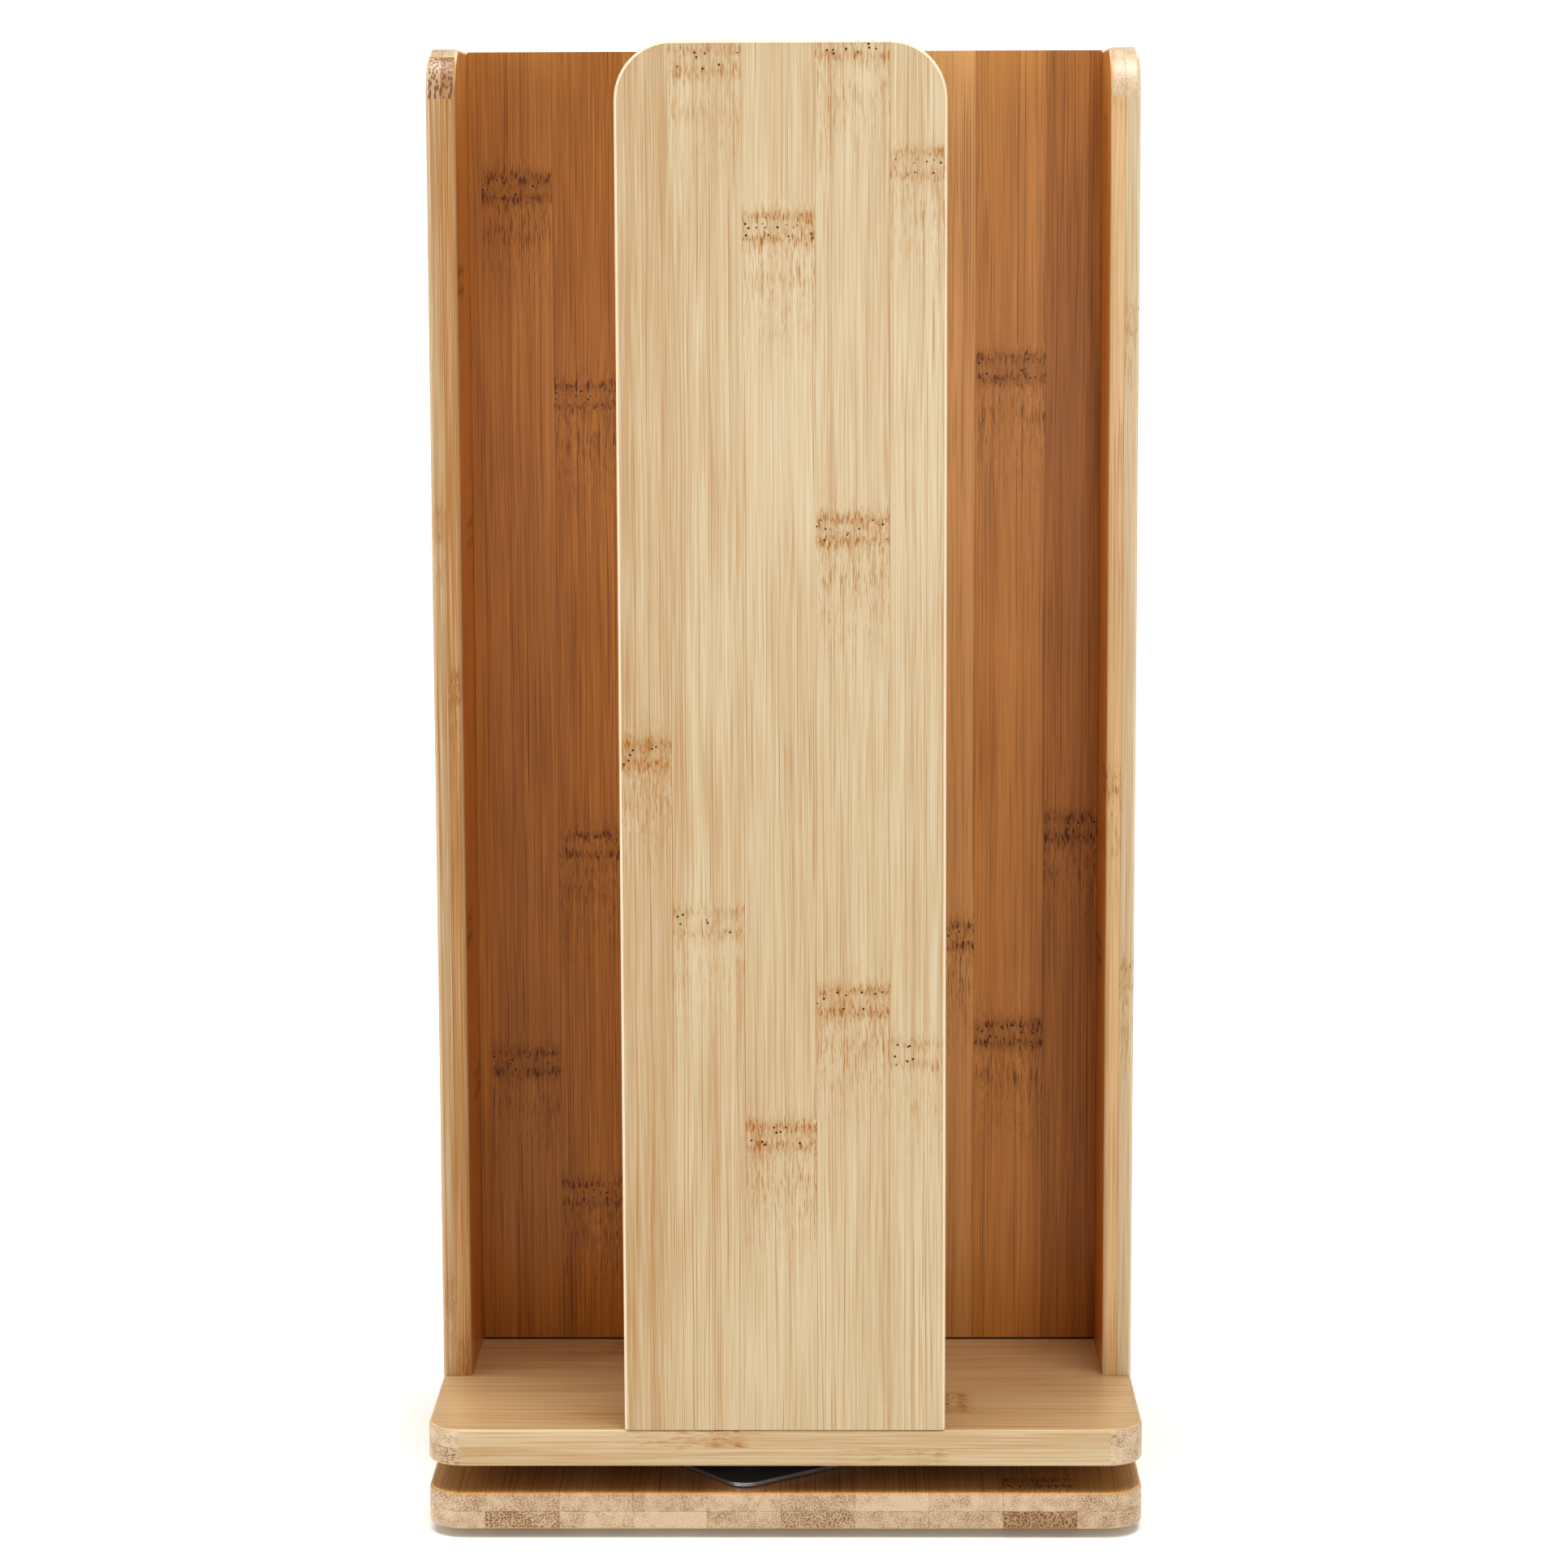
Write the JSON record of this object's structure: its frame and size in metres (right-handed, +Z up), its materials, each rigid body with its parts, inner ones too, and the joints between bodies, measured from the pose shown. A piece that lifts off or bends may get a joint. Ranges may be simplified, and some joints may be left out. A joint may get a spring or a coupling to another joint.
{
  "type": "revolving desktop organizer",
  "caption": "Revolving upright holder: square base and turntable boards, crossed dividers and outer panels round open bays.",
  "frame": {"origin": "on the ground, under the turntable's axis, the middle of the square base", "axes": "+Z up along the turntable's axis; -Y towards the front; +X to the right of someone who faces the front"},
  "size_m": [0.19, 0.19, 0.3918],
  "materials": {
    "light_bamboo": "laminated bamboo, satin clear lacquer, pale natural",
    "bamboo": "laminated bamboo, satin clear lacquer, warm tan",
    "zinc_steel": "zinc-plated, bright",
    "nylon": "natural",
    "rubber": "matt, translucent black",
    "beech": "raw, fluted dowel"
  },
  "bodies": {
    "base": {"base_board": "bamboo", "front_left_pad": "rubber", "front_right_pad": "rubber", "rear_left_pad": "rubber", "rear_right_pad": "rubber", "lower_bearing_plate": "zinc_steel", "lower_plate_screw_1": "zinc_steel", "lower_plate_screw_2": "zinc_steel", "lower_plate_screw_3": "zinc_steel", "lower_plate_screw_4": "zinc_steel"},
    "ball_set": {"ball_cage": "nylon", "bearing_ball_01": "zinc_steel", "bearing_ball_02": "zinc_steel", "bearing_ball_03": "zinc_steel", "bearing_ball_04": "zinc_steel", "bearing_ball_05": "zinc_steel", "bearing_ball_06": "zinc_steel", "bearing_ball_07": "zinc_steel", "bearing_ball_08": "zinc_steel", "bearing_ball_09": "zinc_steel", "bearing_ball_10": "zinc_steel", "bearing_ball_11": "zinc_steel", "bearing_ball_12": "zinc_steel"},
    "turntable": {"turntable_board": "bamboo", "upper_bearing_plate": "zinc_steel", "bearing_lock_ring": "zinc_steel", "upper_plate_screw_1": "zinc_steel", "upper_plate_screw_2": "zinc_steel", "upper_plate_screw_3": "zinc_steel", "upper_plate_screw_4": "zinc_steel", "divider_across": "bamboo", "divider_fore_and_aft": "bamboo", "front_panel": "light_bamboo", "right_panel": "light_bamboo", "rear_panel": "light_bamboo", "left_panel": "light_bamboo", "front_divider_screw": "zinc_steel", "right_divider_screw": "zinc_steel", "rear_divider_screw": "zinc_steel", "left_divider_screw": "zinc_steel", "front_panel_screw_1": "zinc_steel", "front_panel_screw_2": "zinc_steel", "right_panel_screw_1": "zinc_steel", "right_panel_screw_2": "zinc_steel", "rear_panel_screw_1": "zinc_steel", "rear_panel_screw_2": "zinc_steel", "left_panel_screw_1": "zinc_steel", "left_panel_screw_2": "zinc_steel", "front_dowel_1": "beech", "front_dowel_2": "beech", "right_dowel_1": "beech", "right_dowel_2": "beech", "rear_dowel_1": "beech", "rear_dowel_2": "beech", "left_dowel_1": "beech", "left_dowel_2": "beech"}
  },
  "joints": [
    {"name": "turntable_spin", "type": "hinge", "parent": "base", "child": "turntable", "pos_m": [0, 0, 0.0159], "axis": [0, 0, 1], "continuous": true},
    {"name": "ball_orbit", "type": "hinge", "parent": "base", "child": "ball_set", "pos_m": [0, 0, 0.0159], "axis": [0, 0, 1], "continuous": true}
  ],
  "couplings": [
    {"joint": "ball_orbit", "follows": "turntable_spin", "ratio": 0.5}
  ]
}
